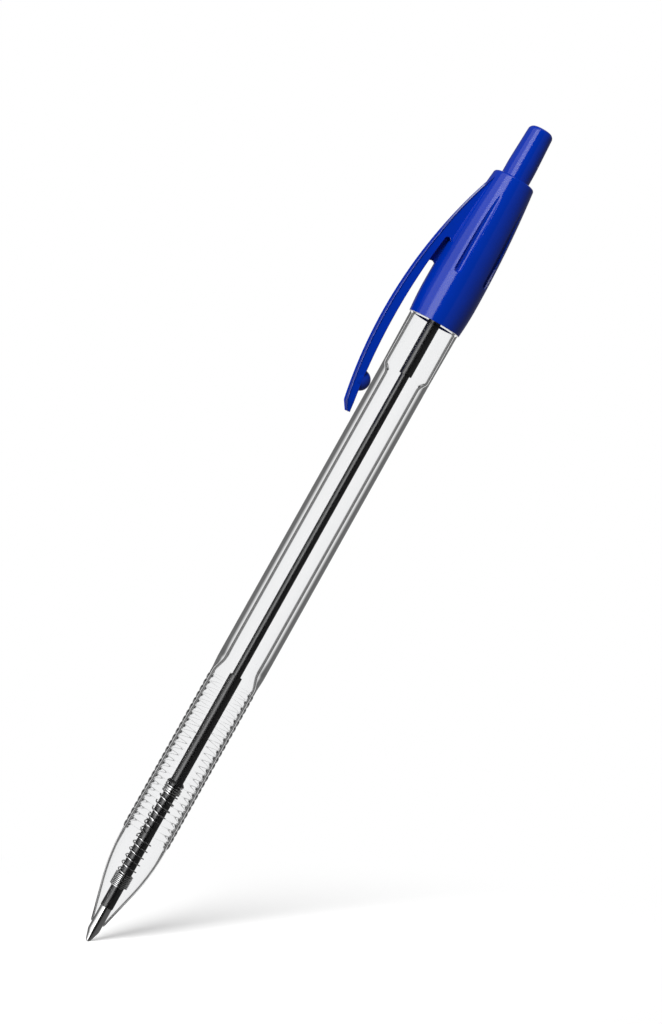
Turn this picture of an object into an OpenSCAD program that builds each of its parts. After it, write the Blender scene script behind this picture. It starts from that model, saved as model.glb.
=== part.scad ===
// Pushbutton ballpoint pen, standing on its writing point, in millimetres.
// The origin is the lowest point of the writing ball, +Z runs up the pen and the clip is towards -X.
// Every height is given for the writing position, with the point out.

/* [Barrel] */
// Outer diameter of the plain middle of the clear barrel
barrel_d = 8.1; // [6.7:0.05:9.8]
// Length of the clear barrel from its nose to the rim of the cap
barrel_len = 106.45; // [88:0.05:130]
// Wall of the thick middle stretch
barrel_wall = 1.22; // [0.9:0.01:1.5]
// Wall of the thin stretch below the cap
top_wall = 0.62; // [0.5:0.01:0.9]
// Length of the thin stretch below the cap
top_len = 8.9; // [5:0.1:12]
// Length of the slope in the bore from the thin stretch to the thick one
top_taper = 1.1; // [0.8:0.1:2]
// Depth of the fine groove in the bore level with the cap's rim
rim_groove = 0.25; // [0.15:0.01:0.3]
// Width of that groove
rim_groove_w = 0.36; // [0.2:0.02:0.5]
// How much the radius grows from the clip's ball up to the cap
barrel_flare = 0.12; // [0.02:0.01:0.3]
// Moulding draft of the stretch behind the clip, in radius
barrel_draft = 0.01; // [0.005:0.001:0.02]
// Gap between the clip's end and the true cylinder that a holder grips
hold_gap = 0.7; // [0.5:0.1:2]
// Length of the neck that stands up inside the cap
neck_len = 7; // [5:0.1:9]
// Step in radius from the barrel to its neck
neck_step = 0.22; // [0.15:0.01:0.3]
// Height of the snap bead round the neck
bead_h = 0.1; // [0.05:0.01:0.15]

/* [Nose and grip] */
// How far the metal point stands out of the nose
tip_out = 3.2; // [2.5:0.1:4]
// Slope of the straight part of the nose, from the axis, in degrees
nose_angle = 14.2; // [12:0.1:18]
// Radius of the curve that leads from the nose into the grip
ogive_r = 33.8; // [25:0.1:42]
// Wall of the nose
nose_wall = 0.36; // [0.3:0.01:0.5]
// Wall at the mouth of the nose
mouth_wall = 0.14; // [0.1:0.01:0.3]
// Radial play of the metal point in the mouth
mouth_play = 0.07; // [0.05:0.01:0.1]
// Number of ribs on the grip
rib_count = 25; // [10:1:30]
// Length of one rib along the pen
rib_pitch = 1.088; // [0.9:0.001:1.4]
// Height of a rib
rib_h = 0.18; // [0.1:0.01:0.3]
// How far the valleys lie below the radius of the middle
grip_drop = 0.22; // [0.19:0.01:0.35]
// Wall under the valleys
grip_wall = 0.43; // [0.4:0.01:0.6]

/* [Cap and clip] */
// Length of the cap from its rim to its top
cap_len = 25.5; // [20.9:0.05:31]
// How far the cap's rim stands out past the barrel
cap_lip = 0.2; // [0.1:0.01:0.4]
// How far the cap swells above its rim
cap_bulge = 0.25; // [0.1:0.01:0.5]
// Height of the widest place above the rim
bulge_h = 5; // [4:0.1:7]
// Wall of the cap round the button at the top
cap_top_wall = 1.01; // [0.8:0.01:1.4]
// Rounding of the cap's top edge
cap_round = 0.5; // [0.3:0.05:0.7]
// Thickness of the cap's roof
cap_roof = 2.6; // [2:0.1:3.5]
// Width of the clip
clip_w = 3.5; // [2.8:0.1:4.2]
// Thickness of the clip at the top of its bow
clip_t = 1.62; // [1.3:0.01:2]
// Gap between the clip and the widest place of the cap
clip_gap = 1.56; // [1.2:0.01:2]
// How far below the cap's rim the clip's bow stands out most
bow_drop = 1.95; // [1:0.05:4]
// Height above the rim at which the clip's flanks meet the cap
flank_h = 12.5; // [11:0.1:14]
// Height above the rim at which the web closes the gap behind the clip
web_h = 8.3; // [7:0.1:10]
// How far the clip reaches down past the cap's rim
clip_reach = 18.4; // [15:0.05:23]
// How far below the cap's top the clip's back runs into the cap
clip_merge = 2.82; // [2:0.02:4]
// Radius of the clip's bowed inner face
clip_inner_r = 100; // [85:1:120]
// Radius of the ball on the clip's inner face
clip_ball_r = 1.75; // [1.4:0.05:2]
// Height of that ball above the clip's end
clip_ball_h = 5.15; // [4:0.05:7]
// Thickness of the web behind the clip's root
web_t = 0.8; // [0.6:0.1:2]
// Height of the flutes' lower ends above the rim
flute_h = 8.2; // [6.5:0.1:10]
// Radius of the finger flutes in the cap
flute_r = 0.62; // [0.4:0.01:0.8]
// Depth of a flute's axis below the cap's face at its lower end
flute_sink = 0.128; // [0:0.001:0.2]

/* [Button and cam] */
// Diameter of the button
button_d = 4.7; // [4.2:0.05:5.2]
// Diameter at the button's top edge
button_top_d = 4.18; // [3.6:0.02:4.18]
// How far the button stands out of the cap
button_out = 8.85; // [7.4:0.05:11]
// Rounding of the button's top edge
button_round = 0.9; // [0.5:0.05:1.2]
// Travel from writing up to drawn in
stroke_up = 5; // [4.2:0.1:5.5]
// Travel past writing when the button is pressed home
stroke_down = 1.5; // [1:0.1:1.8]
// Depth of the slots in the cam sleeve
slot_depth = 0.42; // [0.35:0.01:0.5]
// Wall of the cam sleeve
sleeve_wall = 0.4; // [0.3:0.01:0.5]
// Length of the guide ribs in the cam sleeve
guide_len = 11.55; // [10:0.05:14]
// Width of a guide rib
guide_w = 1.6; // [1.4:0.05:1.8]
// Width of the fins and lugs that run between the guide ribs
fin_w = 1.5; // [1.2:0.05:1.6]
// Height of a fin on the cam rotor
fin_h = 2.3; // [2:0.05:2.6]
// Slope of the cam faces, in degrees
cam_slope = 40; // [30:1:45]

/* [Refill] */
// Diameter of the metal point
tip_d = 1.92; // [1.8:0.01:2.2]
// Height at which the metal point leaves the holder
tip_top = 6.1; // [5:0.1:7]
// Diameter of the writing ball
ball_d = 0.7; // [0.5:0.05:0.8]
// Diameter of the point holder and of the push rod
holder_d = 2.09; // [2.05:0.01:2.4]
// Length of the point holder
holder_len = 41.1; // [36:0.1:50]
// Diameter of the ink tube
tube_d = 1.48; // [1.3:0.01:1.6]
// Bore of the ink tube
tube_bore_d = 1; // [0.8:0.01:1.1]
// Length of the push rod below the cam rotor
rod_len = 17.9; // [14:0.05:21]
// Depth of the sockets that hold the ink tube
socket_len = 7; // [5:0.1:9]
// Empty length of the tube above the ink
ink_gap = 15.7; // [10:0.1:40]

/* [Spring] */
// Radial play between the spring and the point holder
spring_play = 0.185; // [0.1:0.005:0.3]
// Diameter of the wire
wire_d = 0.24; // [0.15:0.01:0.26]
// Height of the spring's seat in the nose
seat_z = 9.67; // [8.5:0.01:11]
// Height of the spring under load
spring_len = 18.13; // [16:0.01:22]
// Open turns in the middle
open_turns = 12; // [8:1:14]
// Turns close together at each end
end_turns = 3; // [2:1:3]
// Pitch of the turns at the ends
end_pitch = 0.7; // [0.68:0.01:0.75]

/* [Hidden] */
$fn = 96;

// Clearances
snug = 0.01;
slide_play = 0.08;
seat_play = 0.1;
axial_play = 0.15;
contact_gap = 0.05;
eps = 0.05;

// Colours
clear_tint = [0.90, 0.92, 0.94, 0.3];
blue = [0.0, 0.18, 0.68];
pale = [0.86, 0.87, 0.88];
black = [0.06, 0.06, 0.07];
steel = [0.74, 0.75, 0.76];

// Barrel
barrel_r = barrel_d / 2;
barrel_top_r = barrel_r + barrel_flare;
bore_r = barrel_r - barrel_wall;
top_bore_r = barrel_r - top_wall;
neck_r = barrel_top_r - neck_step;
nose_z = tip_out;
rim_z = nose_z + barrel_len;
tip_r = tip_d / 2;
mouth_r = tip_r + mouth_play;
nose_r = mouth_r + mouth_wall;
grip_r = barrel_r - grip_drop;
grip_bore_r = grip_r - grip_wall;
ogive_steps = 10;
rib_steps = 8;
corner_z = nose_z + (grip_r - nose_r) / tan(nose_angle);
ogive_end_z = corner_z + ogive_r * tan(nose_angle / 2);
grip_lead = 0.5;
rib_start_z = ogive_end_z + grip_lead;
rib_end_z = rib_start_z + rib_count * rib_pitch;
land_r = grip_r + rib_h / 2;
land_len = 0.9;
taper_len = 2;
bead_z = rim_z + neck_len / 2;
bead_half = 0.3;
neck_chamfer = 0.15;
fin_count = 4;
seat_fin_t = 0.4;
seat_fin_h = 3;
holder_r = holder_d / 2;
seat_bore_r = holder_r + seat_play;

// Cap
cap_top_z = rim_z + cap_len;
button_r = button_d / 2;
hole_r = button_r + slide_play;
rim_r = barrel_top_r + cap_lip;
bulge_r = rim_r + cap_bulge;
bulge_z = rim_z + bulge_h;
cap_top_r = hole_r + cap_top_wall;
slot_r = hole_r + slot_depth;
sleeve_r = slot_r + sleeve_wall;
guide_bore_r = sleeve_r + snug;
socket_top_z = rim_z + neck_len + seat_play;
sleeve_top_z = cap_top_z - cap_roof;
cap_steps = 10;
round_steps = 4;

// Clip
clip_in = bulge_r + clip_gap;
clip_out = clip_in + clip_t;
bow_z = rim_z - bow_drop;
clip_end_z = rim_z - clip_reach;
merge_z = cap_top_z - clip_merge;
clip_sag = clip_out - cap_r(merge_z);
clip_bow_r = (pow(merge_z - bow_z, 2) + pow(clip_sag, 2)) / (2 * clip_sag);
clip_top_drop = 0.8;
clip_top_z = cap_top_z - clip_top_drop;
bevel_h = 1.35;
end_flat = 0.62;
end_inset = 0.5;
end_taper_h = 1.6;
flank_top_z = rim_z + flank_h;
web_top_z = rim_z + web_h;
clip_ball_z = clip_end_z + clip_ball_h;
clip_ball_x = barrel_r + barrel_draft + contact_gap + clip_ball_r;

// Flutes, one fifth of a turn apart, with the clip in place of the fifth
flute_count = 5;
flute_end_z = rim_z + flute_h;
flute_axis_r = cap_r(flute_end_z + flute_r) - flute_sink;

// Cam: guide ribs, rotor and button
guide_z = sleeve_top_z - guide_len;
sleeve_skirt = 3.5;
sleeve_z = guide_z - sleeve_skirt;
fin_r = slot_r - slide_play;
fin_top_z = guide_z - axial_play;
fin_z = fin_top_z - fin_h;
rotor_foot = 0.25;
rotor_z = fin_z - rotor_foot;
rotor_core_r = 1.75;
pilot_r = 1.6;
pilot_len = 2.6;
pilot_top_z = fin_top_z + pilot_len;
crown_gap = 0.2;
crown_z = fin_top_z + crown_gap;
crown_notch = 0.8;
crown_teeth = 8;
skirt_bore_r = 1.85;
lug_stop = 0.3;
lug_top_z = sleeve_top_z - stroke_up - lug_stop;
lug_h = 2.5;
button_top_z = cap_top_z + button_out;
button_straight = 2.4;
button_roof = 2.5;

// Refill
ball_r = ball_d / 2;
seat_r = ball_r + snug;
tube_r = tube_d / 2;
tube_bore_r = tube_bore_d / 2;
holder_top_z = tip_top + holder_len;
tube_z = holder_top_z - socket_len;
rod_top_z = rotor_z - contact_gap;
rod_z = rod_top_z - rod_len;
tube_top_z = rod_z + socket_len;
pin_r = 0.6;
pin_h = 1.4;
pin_play = 0.05;
stem_r = 0.7;
stem_len = 3.8;
ink_bore_r = 0.35;
tip_bore_r = 0.25;
point_slope = 17.5;
lip_z = 0.25;
lip_r = 0.41;
point_z = lip_z + (tip_r - lip_r) / tan(point_slope);
holder_round = 0.35;
collar_inset = 0.03;
collar_r = holder_r + spring_play + wire_d - collar_inset;
collar_h = 0.62;
collar_z = seat_z + spring_len;

// Spring, wound left-handed
wire_r = wire_d / 2;
coil_r = holder_r + spring_play + wire_r;
rings = 8;
sides = 6;
coil_z = seat_z + wire_r + contact_gap / 2;
coil_h = spring_len - wire_d - contact_gap;
end_h = end_turns * end_pitch;
open_pitch = (coil_h - 2 * end_h) / open_turns;
turns = open_turns + 2 * end_turns;

// A rounded edge as points, from the side of a turned piece to its top
function edge_round(r, z, round) = [for (i = [0:round_steps])
    let (a = 90 * i / round_steps) [r - round * (1 - cos(a)), z - round * (1 - sin(a))]];

// The curve from the straight nose to the grip, set in from the outside by a wall
function ogive(wall) = [for (i = [0:ogive_steps])
    let (a = nose_angle * (1 - i / ogive_steps))
    [grip_r - wall - ogive_r * (1 - cos(a)), ogive_end_z - ogive_r * sin(a)]];

// Half round ribs, one after another
function ribs() = [for (i = [0:rib_count - 1], k = [0:rib_steps - 1])
    let (a = 180 * k / rib_steps)
    [grip_r + rib_h * sin(a), rib_start_z + rib_pitch * (i + (1 - cos(a)) / 2)]];

// Outside radius of the cap at a height: one curve below the widest place and one above it
function cap_r(z) = z < bulge_z
    ? bulge_r - cap_bulge * pow((bulge_z - z) / bulge_h, 2)
    : bulge_r - (bulge_r - cap_top_r) * pow((z - bulge_z) / (cap_top_z - bulge_z), 2);

// Distance of the clip's two faces from the axis at a height
function clip_outer_x(z) = clip_out - clip_bow_r + sqrt(pow(clip_bow_r, 2) - pow(z - bow_z, 2));
function clip_inner_x(z) = clip_in - clip_inner_r + sqrt(pow(clip_inner_r, 2) - pow(z - bow_z, 2));

// Height of the spring's wire after a number of turns
function coil_height(u) = u < end_turns ? u * end_pitch
    : u < end_turns + open_turns ? end_h + (u - end_turns) * open_pitch
    : end_h + open_turns * open_pitch + (u - end_turns - open_turns) * end_pitch;
function coil_point(u) = [coil_r * cos(-360 * u), coil_r * sin(-360 * u), coil_z + coil_height(u)];
function unit(v) = v / norm(v);

// The wire's path: the turns, with a straight run of one wire diameter at each end
coil_turns = [for (i = [0:turns * rings]) coil_point(i / rings)];
coil_last = len(coil_turns) - 1;
coil_start_dir = unit([0, -1, 0]);
coil_end_dir = unit([sin(-360 * turns), -cos(-360 * turns), 0]);
coil_path = concat([coil_turns[0] - wire_d * coil_start_dir], coil_turns,
    [coil_turns[coil_last] + wire_d * coil_end_dir]);
coil_gap = min([for (i = [0:coil_last], j = [i + rings / 2:1:coil_last])
    norm(coil_turns[i] - coil_turns[j])]) - wire_d;
echo(least_spring_gap = coil_gap);

module barrel() {
    outside = concat([[nose_r, nose_z]], ogive(0), ribs(), [
        [grip_r, rib_end_z],
        [land_r, rib_end_z + eps],
        [land_r, rib_end_z + land_len],
        [barrel_r, rib_end_z + land_len + taper_len],
        [barrel_r, clip_end_z - hold_gap],
        [barrel_r + barrel_draft, rim_z - top_len],
        [barrel_top_r, rim_z],
        [neck_r, rim_z],
        [neck_r, bead_z - bead_half],
        [neck_r + bead_h, bead_z],
        [neck_r, bead_z + bead_half],
        [neck_r, rim_z + neck_len - neck_chamfer],
        [neck_r - neck_chamfer, rim_z + neck_len]
    ]);
    nose_bore = ogive(nose_wall);
    mouth_top_z = nose_bore[0][1] - (nose_bore[0][0] - mouth_r) / tan(nose_angle);
    bore_down = [
        [top_bore_r, rim_z + neck_len],
        [top_bore_r, rim_z + rim_groove_w / 2],
        [top_bore_r + rim_groove, rim_z],
        [top_bore_r, rim_z - rim_groove_w / 2],
        [top_bore_r, rim_z - top_len],
        [bore_r, rim_z - top_len - top_taper],
        [bore_r, rib_end_z + land_len + taper_len],
        [grip_bore_r, rib_end_z + land_len],
        [grip_bore_r, rib_start_z]
    ];
    bore_nose = [for (i = [ogive_steps:-1:0]) nose_bore[i]];
    mouth = [[mouth_r, mouth_top_z], [mouth_r, nose_z]];
    color(clear_tint) union() {
        rotate_extrude() polygon(concat(outside, bore_down, bore_nose, mouth));
        spring_seat(nose_bore[0]);
    }
}

// Four thin fins inside the nose that the spring stands on
module spring_seat(bore_point) {
    base_z = seat_z - seat_fin_h;
    root = nose_wall / 2;
    function wall_at(z) = bore_point[0] + (z - bore_point[1]) * tan(nose_angle) + root;
    intersection() {
        rotate_extrude() polygon([
            [seat_bore_r, base_z],
            [wall_at(base_z), base_z],
            [wall_at(seat_z), seat_z],
            [seat_bore_r, seat_z]
        ]);
        for (i = [0:fin_count / 2 - 1])
            rotate(i * 360 / fin_count)
                translate([-barrel_r, -seat_fin_t / 2, base_z])
                    cube([barrel_d, seat_fin_t, seat_fin_h]);
    }
}

module cap() {
    color(blue) difference() {
        union() {
            cap_body();
            clip();
        }
        cap_bore();
        for (i = [1:flute_count - 1])
            rotate(180 + i * 360 / flute_count) flute();
    }
}

module cap_body() {
    lower = [for (i = [0:3]) let (z = rim_z + bulge_h * i / 4) [cap_r(z), z]];
    side_top = cap_top_z - cap_round;
    upper = [for (i = [0:cap_steps - 1])
        let (z = bulge_z + (side_top - bulge_z) * i / cap_steps) [cap_r(z), z]];
    rotate_extrude() polygon(concat([[0, rim_z]], lower, upper,
        edge_round(cap_r(side_top), cap_top_z, cap_round), [[0, cap_top_z]]));
}

module cap_bore() {
    neck_fit_r = neck_r + snug;
    rotate_extrude() polygon([
        [0, rim_z - 1],
        [neck_fit_r, rim_z - 1],
        [neck_fit_r, bead_z - bead_half],
        [neck_fit_r + bead_h, bead_z],
        [neck_fit_r, bead_z + bead_half],
        [neck_fit_r, socket_top_z],
        [guide_bore_r, socket_top_z],
        [guide_bore_r, sleeve_top_z],
        [hole_r, sleeve_top_z],
        [hole_r, cap_top_z + 1],
        [0, cap_top_z + 1]
    ]);
}

// A groove with a round end that runs out as the cap tapers
module flute() {
    translate([flute_axis_r, 0, flute_end_z + flute_r]) {
        sphere(flute_r);
        cylinder(r = flute_r, h = cap_len);
    }
}

module clip() {
    intersection() {
        union() {
            clip_plate(flank_top_z, clip_w);
            clip_plate(web_top_z, web_t);
            clip_ball();
        }
        clip_plan();
    }
}

// One layer of the clip, joined to the cap above gap_top
module clip_plate(gap_top, thickness) {
    rotate([90, 0, 0]) linear_extrude(thickness, center = true) difference() {
        intersection() {
            translate([clip_bow_r - clip_out, bow_z]) circle(clip_bow_r, $fn = 360);
            polygon([
                [0, clip_end_z],
                [-clip_inner_x(clip_end_z) - end_flat, clip_end_z],
                [-clip_outer_x(clip_end_z + bevel_h), clip_end_z + bevel_h],
                [-clip_out - 1, clip_end_z + bevel_h],
                [-clip_out - 1, clip_top_z],
                [0, clip_top_z]
            ]);
        }
        clip_opening(gap_top);
    }
}

// The space between the clip and the cap, with a round upper end
module clip_opening(top_z) {
    half = (clip_inner_x(top_z) - cap_r(top_z)) / 2;
    end_r = max(half, eps) + eps;
    end_z = top_z - end_r;
    intersection() {
        translate([clip_inner_r - clip_in, bow_z]) circle(clip_inner_r, $fn = 360);
        translate([-clip_out, clip_end_z - 1]) square([clip_out, end_z - clip_end_z + 1]);
    }
    translate([end_r - clip_inner_x(end_z), end_z]) circle(end_r);
}

// Half of a ball that grips the pocket's cloth against the barrel
module clip_ball() {
    behind = 0.4;
    intersection() {
        translate([-clip_ball_x, 0, clip_ball_z]) sphere(clip_ball_r);
        translate([-clip_ball_x - behind, -clip_ball_r, clip_ball_z - clip_ball_r])
            cube([clip_ball_r + behind, 2 * clip_ball_r, 2 * clip_ball_r]);
    }
}

// Outline of the clip seen from outside, narrowed towards its end
module clip_plan() {
    half = clip_w / 2;
    rotate([90, 0, 90]) translate([0, 0, -clip_out - 1]) linear_extrude(clip_out + 1) polygon([
        [end_inset - half, clip_end_z],
        [half - end_inset, clip_end_z],
        [half, clip_end_z + end_taper_h],
        [half, clip_top_z],
        [-half, clip_top_z],
        [-half, clip_end_z + end_taper_h]
    ]);
}

module cam_sleeve() {
    color(pale) union() {
        difference() {
            translate([0, 0, sleeve_z]) cylinder(r = sleeve_r, h = sleeve_top_z - sleeve_z);
            translate([0, 0, sleeve_z - 1]) cylinder(r = slot_r, h = sleeve_top_z - sleeve_z + 2);
        }
        intersection() {
            difference() {
                translate([0, 0, guide_z]) cylinder(r = slot_r + eps, h = guide_len);
                translate([0, 0, guide_z - 1]) cylinder(r = hole_r, h = guide_len + 2);
            }
            for (i = [0:fin_count - 1])
                rotate(45 + i * 360 / fin_count) guide_rib();
        }
    }
}

// A guide rib's bar with a sloped lower end
module guide_rib() {
    sloped_bar(guide_w, sleeve_r, guide_z, guide_len, true);
}

// A bar from the axis outwards, cut on a slope at its lower or upper end
module sloped_bar(width, reach, z, height, cut_below) {
    cut = 3 * reach;
    difference() {
        translate([0, -width / 2, z]) cube([reach, width, height]);
        if (cut_below)
            translate([0, -width / 2, z]) rotate([cam_slope, 0, 0]) translate([-1, -1, -cut])
                cube([reach + 2, cut, cut]);
        else
            translate([0, -width / 2, z + height]) rotate([-cam_slope, 0, 0]) translate([-1, -1, 0])
                cube([reach + 2, cut, cut]);
    }
}

module cam_rotor() {
    color(pale) difference() {
        union() {
            translate([0, 0, rotor_z]) cylinder(r = rotor_core_r, h = fin_top_z - rotor_z);
            translate([0, 0, rotor_z]) cylinder(r = pilot_r, h = pilot_top_z - rotor_z);
            intersection() {
                translate([0, 0, fin_z]) cylinder(r = fin_r, h = fin_h);
                for (i = [0:fin_count - 1])
                    rotate(i * 360 / fin_count) sloped_bar(fin_w, sleeve_r, fin_z, fin_h, false);
            }
        }
        translate([0, 0, rotor_z - 1]) cylinder(r = pin_r + pin_play, h = pin_h + contact_gap * 2 + 1);
    }
}

module push_button() {
    lip = button_top_z - button_round;
    top_r = button_top_d / 2;
    dome = [for (i = [0:round_steps])
        let (a = 90 * i / round_steps)
        [top_r - button_round * (1 - cos(a)), lip + button_round * sin(a)]];
    color(blue) difference() {
        union() {
            rotate_extrude() polygon(concat([
                [skirt_bore_r, crown_z],
                [button_r, crown_z],
                [button_r, cap_top_z + button_straight]
            ], dome, [
                [0, button_top_z],
                [0, button_top_z - button_roof],
                [skirt_bore_r, button_top_z - button_roof]
            ]));
            guide_lugs();
        }
        crown_notches();
    }
}

// Lugs that slide in the sleeve's slots and stop the button turning or coming out
module guide_lugs() {
    lug_z = lug_top_z - lug_h;
    intersection() {
        difference() {
            translate([0, 0, lug_z]) cylinder(r = fin_r, h = lug_h);
            translate([0, 0, lug_z - 1]) cylinder(r = button_r - eps, h = lug_h + 2);
        }
        for (i = [0:fin_count / 2 - 1])
            rotate(i * 360 / fin_count)
                translate([-sleeve_r, -fin_w / 2, lug_z]) cube([2 * sleeve_r, fin_w, lug_h]);
    }
}

// Notches that leave a crown of teeth on the button's lower end
module crown_notches() {
    side = crown_notch * sqrt(2);
    for (i = [0:crown_teeth / 2 - 1])
        rotate((i + 0.5) * 360 / crown_teeth)
            translate([-sleeve_r, 0, crown_z]) rotate([45, 0, 0])
                translate([0, -side / 2, -side / 2]) cube([2 * sleeve_r, side, side]);
}

module push_rod() {
    color(black) rotate_extrude() polygon(concat([
        [0, tube_top_z],
        [tube_r + snug, tube_top_z],
        [tube_r + snug, rod_z],
        [holder_r - holder_round, rod_z]
    ], [for (i = [1:round_steps])
        let (a = 90 * i / round_steps)
        [holder_r - holder_round * (1 - sin(a)), rod_z + holder_round * (1 - cos(a))]], [
        [holder_r, rod_top_z],
        [pin_r, rod_top_z],
        [pin_r, rod_top_z + pin_h],
        [0, rod_top_z + pin_h]
    ]));
}

module ink_tube() {
    color(black) rotate_extrude() polygon([
        [tube_bore_r, tube_z],
        [tube_r, tube_z],
        [tube_r, tube_top_z],
        [tube_bore_r, tube_top_z]
    ]);
}

module ink() {
    tip_end_z = tip_top + stem_len;
    ink_top_z = tube_top_z - ink_gap;
    color(black) rotate_extrude() polygon([
        [0, ball_d + snug],
        [tip_bore_r - snug, ball_d + snug],
        [tip_bore_r - snug, tip_end_z],
        [ink_bore_r - snug, tip_end_z],
        [ink_bore_r - snug, tube_z],
        [tube_bore_r - snug, tube_z],
        [tube_bore_r - snug, ink_top_z],
        [0, ink_top_z]
    ]);
}

module point_holder() {
    stem_fit_r = stem_r + snug;
    tube_fit_r = tube_r + snug;
    stem_top_z = tip_top + stem_len;
    color(black) rotate_extrude() polygon(concat([
        [stem_fit_r, tip_top],
        [holder_r, tip_top],
        [holder_r, collar_z],
        [collar_r, collar_z],
        [collar_r, collar_z + collar_h / 2],
        [holder_r, collar_z + collar_h]
    ], edge_round(holder_r, holder_top_z, holder_round - eps), [
        [tube_fit_r, holder_top_z],
        [tube_fit_r, tube_z],
        [ink_bore_r, tube_z],
        [ink_bore_r, stem_top_z],
        [stem_fit_r, stem_top_z]
    ]));
}

module metal_point() {
    color(steel) difference() {
        rotate_extrude() polygon([
            [0, lip_z],
            [lip_r, lip_z],
            [tip_r, point_z],
            [tip_r, tip_top],
            [stem_r, tip_top],
            [stem_r, tip_top + stem_len],
            [0, tip_top + stem_len]
        ]);
        translate([0, 0, ball_r]) sphere(seat_r);
        translate([0, 0, ball_r]) cylinder(r = tip_bore_r, h = tip_top + stem_len);
    }
}

module writing_ball() {
    color(steel) translate([0, 0, ball_r]) sphere(ball_r);
}

// One unbroken wire with six sides
module return_spring() {
    count = len(coil_path);
    points = [for (i = [0:count - 1])
        let (before = coil_path[max(i - 1, 0)])
        let (after = coil_path[min(i + 1, count - 1)])
        let (along = unit(after - before))
        let (out = unit([coil_path[i][0], coil_path[i][1], 0]))
        let (side = unit(cross(along, out)))
        let (outward = cross(side, along))
        for (k = [0:sides - 1])
            let (a = 360 * k / sides)
            coil_path[i] + wire_r * (cos(a) * outward + sin(a) * side)];
    skin = [for (i = [0:count - 2], k = [0:sides - 1], half = [0, 1])
        let (next = (k + 1) % sides)
        let (a = i * sides + k)
        let (b = i * sides + next)
        half == 0 ? [a, b, b + sides] : [a, b + sides, a + sides]];
    first_end = [for (k = [1:sides - 2]) [0, k + 1, k]];
    last = (count - 1) * sides;
    last_end = [for (k = [1:sides - 2]) [last, last + k, last + k + 1]];
    color(steel) polyhedron(points, concat(skin, first_end, last_end));
}

barrel();
cap();
cam_sleeve();
push_button();
cam_rotor();
push_rod();
ink_tube();
ink();
point_holder();
metal_point();
writing_ball();
return_spring();
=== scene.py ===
"""Pushbutton ballpoint pen: clear barrel, blue cap, refill and spring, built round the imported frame."""

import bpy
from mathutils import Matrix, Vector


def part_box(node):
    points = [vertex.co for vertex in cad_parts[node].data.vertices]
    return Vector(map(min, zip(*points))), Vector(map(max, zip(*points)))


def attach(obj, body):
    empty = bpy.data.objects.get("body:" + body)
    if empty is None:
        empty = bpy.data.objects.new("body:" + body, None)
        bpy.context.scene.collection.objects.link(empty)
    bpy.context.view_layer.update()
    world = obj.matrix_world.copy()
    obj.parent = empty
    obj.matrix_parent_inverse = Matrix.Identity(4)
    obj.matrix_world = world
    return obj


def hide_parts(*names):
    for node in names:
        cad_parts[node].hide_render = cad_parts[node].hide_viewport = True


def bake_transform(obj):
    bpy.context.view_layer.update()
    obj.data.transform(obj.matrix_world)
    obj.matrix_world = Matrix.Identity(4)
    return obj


bl_info = {
    "name": "Pushbutton Ballpoint Pen",
    "version": (1, 0, 0),
    "blender": (4, 5, 0),
    "location": "View3D > Sidebar > Pen",
    "description": "Builds the visible pieces of a clear retractable pen and its studio",
    "category": "Object",
}

import bmesh
import bpy
import numpy as np
from bpy.props import FloatProperty, FloatVectorProperty, IntProperty, PointerProperty
from mathutils import Matrix, Vector

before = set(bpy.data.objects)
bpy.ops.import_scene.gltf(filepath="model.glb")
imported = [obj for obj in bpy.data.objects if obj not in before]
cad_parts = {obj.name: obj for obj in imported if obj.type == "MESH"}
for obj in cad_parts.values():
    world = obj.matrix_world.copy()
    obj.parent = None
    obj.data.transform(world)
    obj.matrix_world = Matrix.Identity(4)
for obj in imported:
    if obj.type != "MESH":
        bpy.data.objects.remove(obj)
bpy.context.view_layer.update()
MM = 0.001
WELD = 1e-7  # points closer than this, in metres, become one

# Heights up the pen in millimetres: the ends of each CAD node, and the places that pieces share
LOW = {node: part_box(node)[0].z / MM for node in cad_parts}
HIGH = {node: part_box(node)[1].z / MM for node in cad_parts}
RIM = HIGH["barrel"] - 7  # the cap's lower rim, round the barrel's neck
SPRING_SEAT = 9.67  # the spring's lower end, in the nose
COLLAR = 27.8  # the spring's upper end, under the refill's collar
STEM_TOP = 9.9  # the metal point's upper end, inside its holder
FIT = 0.01  # clearance in millimetres between pieces that are pressed together


# Sizes and colours


def length(name, description, default):
    """A size in metres."""
    return FloatProperty(
        name=name, description=description, default=default, unit="LENGTH", precision=6
    )


def angle(name, description, degrees):
    """An angle, given in degrees."""
    return FloatProperty(
        name=name, description=description, default=np.radians(degrees), subtype="ANGLE"
    )


def power(name, description, watts):
    """The power of a lamp."""
    return FloatProperty(name=name, description=description, default=watts, subtype="POWER")


def count(name, description, default):
    """A number of like things."""
    return IntProperty(name=name, description=description, default=default, min=1)


def colour(name, description, default):
    """A linear colour."""
    return FloatVectorProperty(
        name=name, description=description, default=default, subtype="COLOR", size=3, min=0, max=1
    )


class PenBarrelSizes(bpy.types.PropertyGroup):
    """Sizes of the clear barrel"""

    radius: length("Radius", "Outside radius of the plain middle", 4.05 * MM)
    bore: length("Bore", "Bore radius of the thick middle", 2.83 * MM)
    top_bore: length("Top bore", "Bore radius of the thin stretch below the cap", 3.52 * MM)
    grip_radius: length("Grip radius", "Radius in the valleys of the grip", 3.83 * MM)
    grip_bore: length("Grip bore", "Bore radius under the grip", 3.40 * MM)
    rib_height: length("Rib height", "Height of a rib", 0.18 * MM)
    rib_pitch: length("Rib pitch", "Length of one rib", 1.088 * MM)
    rib_count: count("Ribs", "Number of ribs", 25)
    nose_wall: length("Nose wall", "Wall of the nose", 0.31 * MM)
    tint: colour("Tint", "Colour of the clear plastic", (0.945, 0.947, 0.95))


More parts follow.
